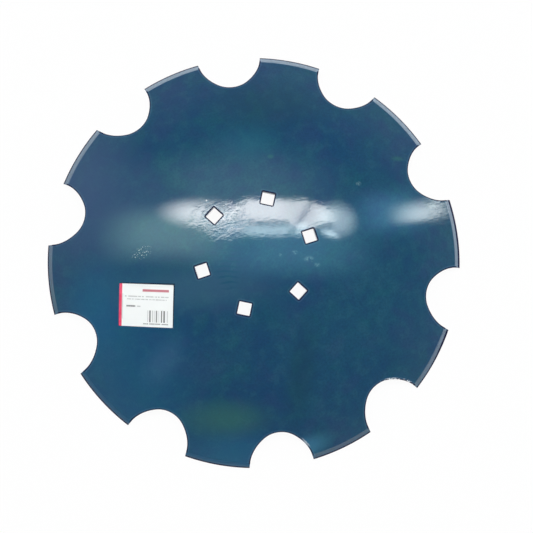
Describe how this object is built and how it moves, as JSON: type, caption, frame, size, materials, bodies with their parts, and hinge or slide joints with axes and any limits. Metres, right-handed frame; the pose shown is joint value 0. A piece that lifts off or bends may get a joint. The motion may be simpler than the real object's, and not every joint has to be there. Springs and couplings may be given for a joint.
{
  "type": "harrow disc blade",
  "caption": "Dished steel blade with a notched, bevelled rim and square bolt holes round its middle, painted blue, with a paper label.",
  "frame": {"origin": "on the blade's axis at the height of the rim's lowest edge, with the blade lying on its rim and the dome up", "axes": "+Z along the blade's axis towards the crown of the dome, +X towards the first bolt hole"},
  "size_m": [0.6092, 0.6096, 0.0823],
  "materials": {
    "blade_paint": "gloss dark blue enamel on dished steel plate",
    "label_paper": "white coated paper with a red stripe and grey print"
  },
  "bodies": {
    "root": {"disc_blade": "blade_paint", "paper_label": "label_paper"}
  },
  "joints": []
}
